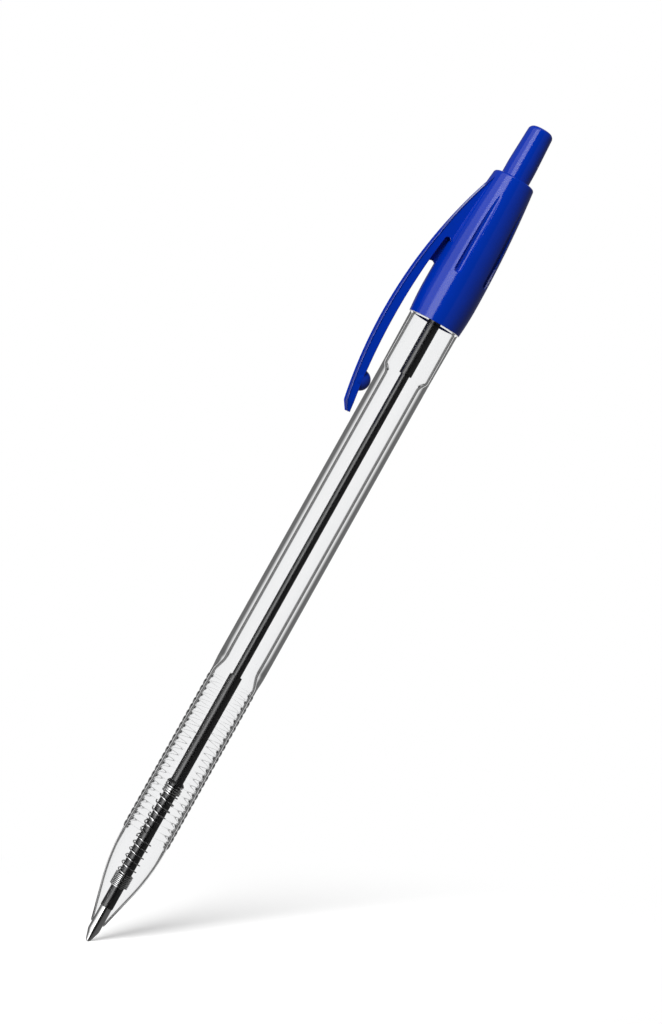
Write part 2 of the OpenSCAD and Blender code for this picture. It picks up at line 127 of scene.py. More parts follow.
class PenCapSizes(bpy.types.PropertyGroup):
    """Sizes of the cap and its clip"""

    bulge: length("Bulge", "Radius of the widest place", 4.62 * MM)
    bulge_height: length("Bulge height", "Height of the widest place above the rim", 5 * MM)
    rim: length("Rim", "Radius of the rim", 4.37 * MM)
    top: length("Top", "Radius of the top", 3.44 * MM)
    flute: length("Flute", "Radius of a finger flute", 0.62 * MM)
    clip_width: length("Clip width", "Width of the clip", 3.5 * MM)
    clip_edge: length("Clip edge", "Rounding of the clip's long edges", 0.16 * MM)
    blue: colour("Blue", "Colour of the moulded plastic", (0.0, 0.031, 0.42))


class PenRefillSizes(bpy.types.PropertyGroup):
    """Sizes of the refill and its point"""

    holder: length("Holder", "Radius of the point holder and the push rod", 1.045 * MM)
    tube: length("Tube", "Radius of the ink tube", 0.74 * MM)
    point: length("Point", "Radius of the metal point", 0.96 * MM)
    ball: length("Ball", "Radius of the writing ball", 0.35 * MM)
    black: colour("Black", "Colour of the refill's plastic", (0.012, 0.012, 0.013))
    metal: colour("Metal", "Colour of the turned point", (0.72, 0.72, 0.72))


class PenSpringSizes(bpy.types.PropertyGroup):
    """Sizes of the return spring"""

    coil: length("Coil", "Radius at the middle of the wire", 1.36 * MM)
    wire: length("Wire", "Radius of the wire", 0.105 * MM)
    close_pitch: length("Close pitch", "Pitch of the close turns at the ends", 0.27 * MM)
    last_pitch: length("Last pitch", "Pitch of the turn that meets the collar", 0.4 * MM)
    close_low: count("Low turns", "Close turns at the lower end", 8)
    open_turns: count("Open turns", "Open turns in the middle", 12)
    close_high: count("High turns", "Close turns at the upper end", 5)
    steel: colour("Steel", "Colour of the wire", (0.62, 0.62, 0.62))


class PenInsideColours(bpy.types.PropertyGroup):
    """Colours of what the cap and the tube hide"""

    pale: colour("Pale", "Colour of the cam sleeve and the rotor", (0.7, 0.71, 0.72))
    ink: colour("Ink", "Colour of the ink", (0.004, 0.004, 0.006))


class PenStudioSizes(bpy.types.PropertyGroup):
    """The camera and the lamps"""

    distance: length("Distance", "From the camera to the pen's axis", 0.400)
    aim: length("Aim", "Height on the pen at which the camera looks", 76.4 * MM)
    shift: length("Shift", "How far the camera looks past the axis", 0.383 * MM)
    lens: FloatProperty(name="Lens", description="Focal length in millimetres", default=90.82)
    turn: angle("Turn", "Turn of the camera round the pen", -8)
    lean: angle("Lean", "Lean of the pen in the picture", 29.31)
    key: power("Key", "Power of the lamp in front", 2.25)
    fill: power("Fill", "Power of the lamp behind", 1.7)


def in_mm(sizes, *names):
    """Some sizes of a group, in millimetres."""
    return [getattr(sizes, name) / MM for name in names]


# Surfaces


def skin(points, closed_rows=False, closed_columns=True):
    """Points on a grid, rows by columns by three, as vertices and four-cornered faces.

    Each face joins a point to the next in its row and to the two above them; a closed direction
    goes on from its last points to its first.
    """
    rows, columns = points.shape[:2]
    index = np.arange(rows * columns).reshape(rows, columns)
    if closed_rows:
        index = np.concatenate([index, index[:1]])
    if closed_columns:
        index = np.concatenate([index, index[:, :1]], axis=1)
    corners = (index[:-1, :-1], index[:-1, 1:], index[1:, 1:], index[1:, :-1])
    return points.reshape(-1, 3), np.stack(corners, axis=-1).reshape(-1, 4)


def lathe(shape, columns=96, closed=True, angles=None):
    """A profile of radius and height turned about the pen's axis.

    A point at radius r, height z and angle a lies at r cos a, r sin a, z. The radius may also be
    given for every angle.
    """
    if angles is None:
        angles = np.linspace(0, 2 * np.pi, columns, endpoint=False)
    radius, height = shape
    if np.ndim(radius) == 1:
        radius = np.reshape(radius, (-1, 1))
    radius, height, angles = np.broadcast_arrays(radius, np.reshape(height, (-1, 1)), angles)
    points = np.stack([radius * np.cos(angles), radius * np.sin(angles), height], axis=-1)
    return skin(points, closed_rows=closed)


def profile(*items, steps=6):
    """A profile from rounded corners and ready-made curves, as arrays of radius and height.

    A corner is radius, height and rounding, in millimetres. It gives way to a parabola between two
    points on its sides, one rounding away from it or a third of the side if that is less, with a
    further point on each side, so that shading stays flat beyond it. A curve is an array of points.
    """
    further = 1.4
    flat = np.concatenate([np.atleast_2d(np.asarray(item, float)[..., :2]) for item in items])
    starts = np.cumsum([0] + [len(np.atleast_2d(item)) for item in items])
    t = np.linspace(0, 1, steps)[:, None]
    out = []
    for item, at in zip(items, starts):
        if np.ndim(item) == 2:
            out.append(np.asarray(item, float))
            continue
        corner = flat[at]
        before, after = flat[at - 1] - corner, flat[(at + 1) % len(flat)] - corner
        run = np.hypot(*before), np.hypot(*after)
        cut = min(item[2], run[0] / 3, run[1] / 3)
        if cut <= 0:
            out.append(corner[None])
            continue
        a, b = before / run[0] * cut, after / run[1] * cut
        arc = corner + (1 - t) ** 2 * a + t**2 * b
        out.append(np.concatenate([[corner + further * a], arc, [corner + further * b]]))
    return np.concatenate(out).T * MM


def rails(outer, inner, half, edge, steps=5):
    """A bar between two rails, with rounded long edges.

    The rails are rows of x and z. At each row the section is a rectangle from the outer to the inner
    rail and from -half to half in y, whose corners are quarter circles of radius edge, or a little
    under half of the thickness if that is less.
    """
    across = inner - outer
    thick = np.linalg.norm(across, axis=1)[:, None]
    across = across / thick
    turn = np.linspace(0, np.pi / 2, steps)
    edge = np.minimum(edge, thick / 2.2)
    half = np.reshape(half, (-1, 1))
    near, far = edge * (1 - np.cos(turn)), edge * (1 - np.sin(turn))
    near_back, far_back = near[:, ::-1], far[:, ::-1]
    depth = np.concatenate([far, thick - far_back, thick - far, far_back], axis=1)
    side = np.concatenate([half - near, half - near_back, near - half, near_back - half], axis=1)
    place = outer[:, None] + across[:, None] * depth[..., None]
    points = np.stack([place[..., 0], side, place[..., 1]], axis=-1)
    ends = [np.broadcast_to(points[i].mean(axis=0), points[i].shape)[None] for i in (0, -1)]
    return skin(np.concatenate([ends[0], points, ends[1]]))


def piece(name, parts, material, body, slot, *nodes, crease=35):
    """One visible object from closed skins, welded, turned to face outwards and put on its body."""
    vertices, faces, done = [], [], 0
    for points, quads in parts:
        a, b, c, d = (points[quads[:, i]] for i in range(4))
        volume = np.sum(a * (np.cross(b, c) + np.cross(c, d)))
        vertices.append(points)
        faces.append((quads if volume > 0 else quads[:, ::-1]) + done)
        done += len(points)
    mesh = bpy.data.meshes.new(name)
    mesh.from_pydata(np.concatenate(vertices), [], np.concatenate(faces))
    work = bmesh.new()
    work.from_mesh(mesh)
    bmesh.ops.remove_doubles(work, verts=work.verts, dist=WELD)
    work.to_mesh(mesh)
    work.free()
    mesh.shade_smooth()
    mesh.set_sharp_from_angle(angle=np.radians(crease))
    mesh.materials.append(material)
    made = bpy.data.objects.new(name, mesh)
    bpy.context.scene.collection.objects.link(made)
    if body:
        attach(made, body)
    if nodes:
        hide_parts(*nodes)
    return made


# Finishes


class Wire:
    """A shader socket that works in Python expressions: each operator adds a Math node."""

    def __init__(self, tree, socket=None):
        self.tree, self.socket = tree, socket

    def node(self, kind, settings=None, sockets=None, out=0):
        """Add any node: its settings, then its sockets' values or links; gives the output named out."""
        made = self.tree.nodes.new(kind)
        for key, value in (settings or {}).items():
            if key == "stops":
                elements = made.color_ramp.elements
                for place, _ in value[1:-1]:
                    elements.new(place)
                for element, (place, level) in zip(elements, value):
                    element.position, element.color = place, (level, level, level, 1)
            else:
                setattr(made, key, value)
        for key, value in (sockets or {}).items():
            if isinstance(value, Wire):
                self.tree.links.new(value.socket, made.inputs[key])
            else:
                made.inputs[key].default_value = value
        return Wire(self.tree, made.outputs[out])

    def output(self, name):
        """Another output of the node that this one comes from."""
        return Wire(self.tree, self.socket.node.outputs[name])

    def math(self, operation, *values):
        """Add a Math node."""
        return self.node("ShaderNodeMath", {"operation": operation}, dict(enumerate(values)))

    def to(self, target):
        """Link this output to an input."""
        self.tree.links.new(self.socket, target)

    def __add__(self, other):
        return self.math("ADD", self, other)

    def __radd__(self, other):
        return self.math("ADD", other, self)

    def __sub__(self, other):
        return self.math("SUBTRACT", self, other)

    def __rsub__(self, other):
        return self.math("SUBTRACT", other, self)

    def __mul__(self, other):
        return self.math("MULTIPLY", self, other)

    def __rmul__(self, other):
        return self.math("MULTIPLY", other, self)

    def __truediv__(self, other):
        return self.math("DIVIDE", self, other)

    def __rtruediv__(self, other):
        return self.math("DIVIDE", other, self)


def step(wire, value, low, high, start=0.0, end=1.0):
    """An amount that goes smoothly from start to end while a value goes from low to high."""
    return wire.node(
        "ShaderNodeMapRange",
        {"interpolation_type": "SMOOTHSTEP"},
        {0: value, 1: low, 2: high, 3: start, 4: end},
    )


def noise(wire, place, scale, detail=2.0):
    """Uneven patches, from 0 to 1."""
    sockets = {"Vector": place, "Scale": scale, "Detail": detail}
    return wire.node("ShaderNodeTexNoise", {}, sockets, "Fac")


def stretched(wire, place, scale):
    """A place with its three measures scaled, which draws a pattern out along the smaller ones."""
    return wire.node("ShaderNodeMapping", {}, {"Vector": place, "Scale": scale})


def clouded(wire, colour, depth, amount):
    """A colour that darkens to a part of itself, depth, where an amount falls to 0."""
    darker = [depth * level for level in colour]
    sockets = {0: amount, 6: (*darker, 1.0), 7: (*colour, 1.0)}
    return wire.node("ShaderNodeMix", {"data_type": "RGBA"}, sockets, out=2)


def wavy(wire, height, strength, distance):
    """A normal that follows fine waves of a height."""
    sockets = {"Height": height, "Strength": strength, "Distance": distance}
    return wire.node("ShaderNodeBump", {}, sockets, "Normal")


def finish(name, **constants):
    """A material with its shader's fixed values set.

    Gives the material, a wire for its nodes, the Object coordinates and the shader's inputs.
    """
    made = bpy.data.materials.new(name)
    made.use_nodes = True
    inputs = made.node_tree.nodes["Principled BSDF"].inputs
    for key, value in constants.items():
        inputs[key.replace("_", " ").title().replace("Ior", "IOR")].default_value = value
    wire = Wire(made.node_tree)
    return made, wire, wire.node("ShaderNodeTexCoord", out="Object"), inputs


def moulded(name, colour, roughness, grain, specular=0.5):
    """Moulded plastic: faint clouds in the colour, uneven gloss and the fine waves of a tool's face."""
    made, wire, place, inputs = finish(name, specular_ior_level=specular)
    cloud = noise(wire, place, 140.0)
    fine = noise(wire, place, grain, detail=3.0)
    clouded(wire, colour, 0.88, cloud * 1.6 - 0.3).to(inputs["Base Color"])
    (roughness * (0.85 + cloud * 0.2 + fine * 0.1)).to(inputs["Roughness"])
    wavy(wire, fine, 0.12, 2e-6).to(inputs["Normal"])
    return made


def clear(colour):
    """Clear plastic: refraction, with the faint flow marks that moulding leaves along the barrel."""
    made, wire, place, inputs = finish(
        "clear_plastic", transmission_weight=1.0, ior=1.08, roughness=0.0
    )
    flow = noise(wire, stretched(wire, place, (1.0, 1.0, 0.08)), 900.0)
    clouded(wire, colour, 0.97, flow).to(inputs["Base Color"])
    return made


def metal(name, colour, roughness, turned):
    """Bright metal: turning or drawing marks, fine rings that change the gloss, and a little tarnish."""
    made, wire, place, inputs = finish(name, metallic=1.0)
    marks = noise(wire, stretched(wire, place, (0.05, 0.05, 1.0)), turned, detail=3.0)
    cloud = noise(wire, place, 700.0)
    clouded(wire, colour, 0.85, cloud * 1.4 - 0.2).to(inputs["Base Color"])
    (roughness + (marks - 0.5) * 0.1).to(inputs["Roughness"])
    wavy(wire, marks, 0.1, 1e-6).to(inputs["Normal"])
    return made


# Pieces


class PEN_OT_barrel(bpy.types.Operator):
    """Build the clear barrel: nose, ribbed grip, thick middle, thin top and neck"""

    bl_idname = "pen.barrel"
    bl_label = "Barrel"

    def execute(self, context):
        p = context.scene.pen_barrel
        radius, bore, top_bore, nose_wall = in_mm(p, "radius", "bore", "top_bore", "nose_wall")
        grip, grip_bore, rib, pitch = in_mm(p, "grip_radius", "grip_bore", "rib_height", "rib_pitch")
        nose, top = LOW["barrel"], HIGH["barrel"]
        tip, mouth = 1.17, 1.03
        slope, bend = np.radians(14.2), 33.8
        bend_end = nose + (grip - tip) / np.tan(slope) + bend * np.tan(slope / 2)
        rib_start = bend_end + 0.5
        rib_end = rib_start + p.rib_count * pitch
        land, land_top = grip + rib / 2, rib_end + 0.9
        middle_low, middle_high = rib_end + 2.9, 90.55
        thin_low, shoulder = RIM - 8.9, RIM - 0.03
        neck, snap, notch = radius - 0.1, RIM + 3.5, 0.18

        def ogive(wall):
            """The arc from the straight nose up to the grip.

            It lies bend (1 - cos a) inside the grip and bend sin a below its own end.
            """
            a = np.linspace(slope, 0, 28)
            arc = [grip - wall - bend * (1 - np.cos(a)), bend_end - bend * np.sin(a)]
            return np.stack(arc, axis=-1)

        # Over a rib, a goes from 0 to pi: it stands rib sin a high at (1 - cos a) / 2 of the pitch
        points = 12
        a = np.tile(np.linspace(0, np.pi, points, endpoint=False), p.rib_count)
        number = np.repeat(np.arange(p.rib_count), points)
        along = rib_start + pitch * (number + (1 - np.cos(a)) / 2)
        ribs = np.stack([grip + rib * np.sin(a), along], axis=-1)
        inside = ogive(nose_wall)[::-1]
        mouth_top = inside[-1, 1] - (inside[-1, 0] - mouth) / np.tan(slope)
        ring = profile(
            (mouth, nose, 0.04),
            (tip, nose, 0.06),
            ogive(0),
            ribs,
            (grip, rib_end, 0),
            (land, rib_end + 0.05, 0.03),
            (land, land_top, 0.4),
            (radius, middle_low, 0.5),
            (radius, middle_high, 1),
            (radius + 0.01, thin_low, 1),
            (radius + 0.12, shoulder, 0.06),
            (neck, shoulder, 0.04),
            (neck, snap - 0.3, 0.1),
            (radius, snap, 0.1),
            (neck, snap + 0.3, 0.1),
            (neck, top - 0.15, 0.05),
            (neck - 0.15, top, 0.05),
            (top_bore, top, 0.08),
            (top_bore, RIM + notch, 0.01),
            (top_bore + 0.25, RIM, 0.01),
            (top_bore, RIM - notch, 0.01),
            (top_bore, thin_low, 0.4),
            (bore, thin_low - 1.1, 0.4),
            (bore, middle_low, 0.4),
            (grip_bore, land_top, 0.4),
            (grip_bore, rib_start, 0.2),
            inside,
            (mouth, mouth_top, 0.1),
        )
        plastic = clear(p.tint)
        made = piece("barrel_clear", [lathe(ring, 144)], plastic, "housing", "clear_plastic", "barrel")
        # What lies inside is lit as if the barrel were not there, which keeps its gloss free of grain
        made.visible_glossy = made.visible_diffuse = False
        return {"FINISHED"}


class PEN_OT_cap(bpy.types.Operator):
    """Build the cap with its finger flutes, and the bowed clip with its web and ball"""

    bl_idname = "pen.cap"
    bl_label = "Cap and clip"

    def execute(self, context):
        p = context.scene.pen_cap
        blue = moulded("blue_plastic", p.blue, 0.13, 2600.0)
        piece("cap_blue", [self.shell(p)], blue, "housing", "blue_plastic", "cap", crease=30)
        parts = [(points * MM, faces) for points, faces in self.clip(p)]
        piece("clip_blue", parts, blue, "housing", "blue_plastic", crease=40)
        return {"FINISHED"}

    def side(self, p, z):
        """Radius of the cap at a height: one parabola below the widest place and one above it."""
        bulge, rim, crown = in_mm(p, "bulge", "rim", "top")
        widest, top = RIM + p.bulge_height / MM, HIGH["cap"]
        low = bulge - (bulge - rim) * ((widest - z) / (widest - RIM)) ** 2
        high = bulge - (bulge - crown) * ((z - widest) / (top - widest)) ** 2
        return np.where(z < widest, low, high)

    def shell(self, p):
        """The cap's wall, turned about the axis, with a flute in each fifth but the clip's.

        A flute takes off what lies within its radius of a line up the cap, with a round lower end.
        The reach is that radius squared, less the square of the height below the line's end, less
        (axis sin off) squared. Where it is above 0, the wall starts at axis cos off less its root.
        """
        top, lip = HIGH["cap"], 0.5
        flute, axis, start = p.flute / MM, 4.45, RIM + 8.2
        bore, bore_top, hole, room, shelf = 3.96, RIM + 7.1, 2.43, 3.26, 132.55
        below, bend = np.linspace(RIM + 0.1, start - 0.1, 26), np.linspace(start, RIM + 9, 12)
        z = np.concatenate([below, bend, np.linspace(RIM + 9.3, top - lip, 46)])
        edge = np.linspace(0, np.pi / 2, 8)[1:]
        crown = [self.side(p, top - lip) - lip * (1 - np.cos(edge)), top - lip * (1 - np.sin(edge))]
        radius, height = profile(
            (bore, RIM, 0.08),
            (p.rim / MM, RIM, 0.1),
            np.stack([self.side(p, z), z], axis=-1),
            np.stack(crown, axis=-1),
            (hole, top, 0.12),
            (hole, shelf, 0),
            (room, shelf, 0),
            (room, bore_top, 0),
            (bore, bore_top, 0),
        )
        # Columns are close together across a flute; the clip's fifth comes first and is moved off it
        fifth = np.radians(np.concatenate([np.linspace(-10, 10, 49), np.linspace(12, 60, 25)]))
        angles = np.concatenate([np.pi + fifth + 2 * np.pi * i / 5 for i in range(5)])
        off = np.concatenate([fifth + np.pi / 3, np.tile(fifth, 4)])
        under = np.clip(start + flute - height / MM, 0, flute)[:, None]
        reach = flute**2 - under**2 - (axis * np.sin(off)) ** 2
        outside = ((height / MM > start) & (radius / MM > 3.5))[:, None]
        fluted = outside & (reach > 0) & (np.cos(off) > 0)
        groove = (axis * np.cos(off) - np.sqrt(np.maximum(reach, 0))) * MM
        radius = radius[:, None]
        cut = np.where(fluted, np.minimum(radius, groove), radius)
        return lathe((cut, height), angles=angles)

    def clip(self, p):
        """The bowed clip, the web under its root and the ball near its end, as skins in millimetres."""
        half, edge = p.clip_width / MM / 2, p.clip_edge / MM
        low, high, bow = RIM - 18.4, HIGH["cap"] - 0.8, 107.7
        front, under = (7.79, 76.78), (6.18, 100)

        def face(out, bend, z):
            """Distance of a bowed face from the axis: a circle whose highest point is at the bow."""
            return out - bend + np.sqrt(bend**2 - (z - bow) ** 2)

        def arch(z):
            """The round upper end of the gap behind the clip: half a circle from the clip to the cap."""
            wide = (face(*under, z) - self.side(p, z)) / 2 + 0.1
            a = np.linspace(0, np.pi, 24)
            middle = face(*under, z - wide) - wide
            return np.stack([-middle - wide * np.cos(a), z - wide + wide * np.sin(a)], axis=-1)

        over = arch(RIM + 12.5)
        taper, narrow, bevel, blunt = 1.6, 0.5, 1.35, 0.62
        end = np.linspace(low, low + taper, 14)
        up = np.concatenate([end, np.linspace(low + 2, over[0, 1], 60)[:-1]])
        back = np.stack([-face(*under, up), up], axis=-1)
        inner = np.concatenate([back, over, [(-3.0, over[-1, 1] + 0.3)]])
        along = np.concatenate([up, np.linspace(up[-1], high, len(over) + 2)[1:]])
        tip = inner[0, 0] - blunt
        slope = tip + (along - low) / bevel * (-face(*front, low + bevel) - tip)
        outer = np.where(along < low + bevel, slope, -face(*front, along))
        width = np.where(along < low + taper, half - narrow * (1 - (along - low) / taper), half)
        bar = rails(np.stack([outer, along], axis=-1), inner, width, edge)

        # The web fills the gap above a lower arch, whose two ends go into the clip and the cap
        web_arch = arch(RIM + 8.3)
        web_arch[[0, -1], 0] += (-0.4, 0.6)
        rows = len(web_arch)
        roof = np.stack([np.linspace(-5.8, -3.6, rows), np.full(rows, RIM + 13.2)], axis=-1)
        web = rails(web_arch, roof, np.full(rows, 0.3), 0.05)

        # The ball is a globe about a line along x, cut flat inside the clip
        ball, out, height, flat = 1.75, -5.86, RIM - 13.25, 0.4
        lean = np.linspace(0, np.arccos(-flat / ball), 30)
        turn = np.linspace(0, 2 * np.pi, 64, endpoint=False)
        x = np.append(out + ball * np.cos(lean), out - flat)[:, None]
        ring = np.append(ball * np.sin(lean), 0)[:, None]
        globe = [x + 0 * turn, ring * np.cos(turn), height + ring * np.sin(turn)]
        return bar, web, skin(np.stack(globe, axis=-1))


class PEN_OT_button(bpy.types.Operator):
    """Build the push button with its toothed crown and guide lugs"""

    bl_idname = "pen.button"
    bl_label = "Push button"

    def execute(self, context):
        blue = moulded("button_plastic", context.scene.pen_cap.blue, 0.13, 2600.0)
        top, crown = HIGH["push_button"], LOW["push_button"]
        bore, outside, head, rounding = 1.85, 2.35, 2.09, 0.9
        shoulder, gullet, floor = 137.55, crown + 0.9, top - 2.5
        edge = np.linspace(0, np.pi / 2, 12)
        dome = [head - rounding * (1 - np.cos(edge)), top - rounding + rounding * np.sin(edge)]
        wall = profile(
            (bore, crown, 0),
            (outside, crown, 0),
            (outside, gullet, 0),
            (outside, shoulder, 0.6),
            np.stack(dome, axis=-1),
            (0, top, 0),
            (0, floor, 0),
            (bore, floor, 0.1),
            (bore, gullet, 0),
        )
        angles = np.linspace(0, 2 * np.pi, 128, endpoint=False)
        points, quads = lathe(wall, angles=angles)

        # Eight teeth: the lowest points rise by a triangular wave with its ends cut flat
        teeth, tall = 8, 0.8
        wave = 1 - np.abs((angles * teeth / (2 * np.pi)) % 1 - 0.5) * 2
        rise = np.tile(tall * np.clip(wave * 1.9 - 0.9, 0, 1), len(wall[1]))
        lowest = points[:, 2] < (crown + 0.01) * MM
        points[lowest, 2] += rise[lowest] * MM

        # A lug on each quarter, in the sleeve's slots
        rows = np.array([[2.3, 124.75], [2.3, 127.25]])
        lug, faces = rails(rows, rows + (0.47, 0), np.full(2, 0.75), 0.08)
        parts = [(points, quads)]
        for turn in np.arange(4) * np.pi / 2:
            c, s = np.cos(turn), np.sin(turn)
            parts.append((lug @ np.array([[c, s, 0], [-s, c, 0], [0, 0, 1]]) * MM, faces))
        piece("button_blue", parts, blue, "button", "blue_plastic", "push_button")
        return {"FINISHED"}


class PEN_OT_refill(bpy.types.Operator):
    """Build the refill: point holder, ink tube, push rod, metal point and writing ball"""

    bl_idname = "pen.refill"
    bl_label = "Refill"

    def execute(self, context):
        p = context.scene.pen_refill
        black = moulded("black_plastic", p.black, 0.32, 3000.0, specular=1.0)
        holder, tube, point, ball = in_mm(p, "holder", "tube", "point", "ball")
        low, high = LOW["point_holder"], HIGH["point_holder"]
        tube_low, tube_high = LOW["ink_tube"], HIGH["ink_tube"]
        rod_low, rod_high = LOW["push_rod"], HIGH["push_rod"]
        stem, socket = 0.7, tube + FIT

        collar, channel = 1.44, 0.35
        shape = profile(
            (stem + FIT, low, 0.03),
            (holder, low, 0.06),
            (holder, COLLAR, 0.03),
            (collar, COLLAR, 0.04),
            (collar, COLLAR + 0.31, 0.1),
            (holder, COLLAR + 0.62, 0.1),
            (holder, high, 0.32),
            (socket, high, 0.02),
            (socket, tube_low, 0),
            (channel, tube_low, 0),
            (channel, STEM_TOP, 0),
            (stem + FIT, STEM_TOP, 0),
        )
        piece("point_holder_black", [lathe(shape)], black, "refill", "black_plastic", "point_holder")

        bore, edge = 0.5, 0.03
        shape = profile(
            (bore, tube_low, edge),
            (tube, tube_low, edge),
            (tube, tube_high, edge),
            (bore, tube_high, edge),
        )
        piece("ink_tube_black", [lathe(shape, 64)], black, "refill", "black_plastic", "ink_tube")

        peg, shoulder = 0.6, rod_high - 1.4
        shape = profile(
            (0, tube_high, 0),
            (socket, tube_high, 0),
            (socket, rod_low, 0.02),
            (holder, rod_low, 0.32),
            (holder, shoulder, 0.08),
            (peg, shoulder, 0.03),
            (peg, rod_high, 0.08),
            (0, rod_high, 0),
        )
        rod = lathe(shape, closed=False)
        piece("push_rod_black", [rod], black, "refill", "black_plastic", "push_rod")

        duct, lip, lip_height = 0.25, 0.41, 0.25
        cone_top = lip_height + (point - lip) / np.tan(np.radians(17.5))
        a = np.radians(np.linspace(106, 45, 8))
        seat = [(ball + FIT) * np.sin(a), ball + (ball + FIT) * np.cos(a)]
        shape = profile(
            np.stack(seat, axis=-1),
            (duct, 0.62, 0),
            (duct, STEM_TOP, 0),
            (stem, STEM_TOP, 0.1),
            (stem, low, 0),
            (point, low, 0.03),
            (point, cone_top, 0.25),
            (lip, lip_height, 0.03),
        )
        turned = metal("tip_metal", p.metal, 0.12, 9000.0)
        piece("metal_point_turned", [lathe(shape)], turned, "refill", "tip_metal", "metal_point")

        a = np.linspace(0, np.pi, 32)
        globe = lathe((p.ball * np.sin(a), p.ball * (1 - np.cos(a))), 64, closed=False)
        lapped = metal("ball_metal", p.metal, 0.1, 4000.0)
        piece("writing_ball_lapped", [globe], lapped, "refill", "ball_metal", "writing_ball")
        return {"FINISHED"}


class PEN_OT_spring(bpy.types.Operator):
    """Build the return spring, which stretches between the nose and the refill's collar"""

    bl_idname = "pen.spring"
    bl_label = "Return spring"

    def execute(self, context):
        p = context.scene.pen_spring
        low, high = SPRING_SEAT * MM + p.wire, COLLAR * MM - p.wire
        turns = p.close_low + p.open_turns + p.close_high
        close = (p.close_low + p.close_high - 1) * p.close_pitch + p.last_pitch
        open_pitch = (high - low - close) / p.open_turns

        # The climb is the sum of the pitch along the turns, which changes over less than half a turn
        per_turn, spread = 40, 17
        u = np.linspace(0, turns, turns * per_turn + 1)
        opened = (u > p.close_low) & (u < turns - p.close_high)
        rate = np.where(opened, open_pitch, p.close_pitch)
        rate = np.where(u > turns - 1, p.last_pitch, rate)
        rate = np.pad(rate, spread // 2, mode="edge")
        rate = np.convolve(rate, np.ones(spread) / spread, mode="valid")
        climb = np.concatenate([[0], np.cumsum((rate[1:] + rate[:-1]) / 2 * np.diff(u))])
        climb = climb * (high - low) / climb[-1]

        # The wire's middle runs on a left-handed helix; each section is a circle across its run
        first, sides = 0.19, 10
        a = -2 * np.pi * (u + first)
        out = np.stack([np.cos(a), np.sin(a), 0 * a], axis=-1)
        middle = p.coil * out + np.stack([0 * a, 0 * a, low + climb], axis=-1)
        run = np.gradient(middle, axis=0)
        run = run / np.linalg.norm(run, axis=1)[:, None]
        across = np.cross(run, out)
        b = np.linspace(0, 2 * np.pi, sides, endpoint=False)[None, :, None]
        section = np.cos(b) * out[:, None] + np.sin(b) * across[:, None]
        tube = middle[:, None] + p.wire * section
        ends = [np.broadcast_to(middle[i], (1, sides, 3)) for i in (0, -1)]
        coil = skin(np.concatenate([ends[0], tube, ends[1]]))
        wire = metal("spring_steel", p.steel, 0.2, 5000.0)
        made = piece(
            "return_spring_wire", [coil], wire, None, "spring_steel", "return_spring", crease=50
        )
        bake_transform(made)
        return {"FINISHED"}


class PEN_OT_inside(bpy.types.Operator):
    """Give the hidden cam and ink their finishes"""

    bl_idname = "pen.inside"
    bl_label = "Cam and ink"

    def execute(self, context):
        p = context.scene.pen_inside
        pale = moulded("pale_plastic", p.pale, 0.38, 1800.0)
        ink = moulded("ink_black", p.ink, 0.08, 900.0)
        for node, material in (("cam_sleeve", pale), ("cam_rotor", pale), ("ink", ink)):
            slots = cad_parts[node].data.materials
            slots.clear()
            slots.append(material)
        return {"FINISHED"}


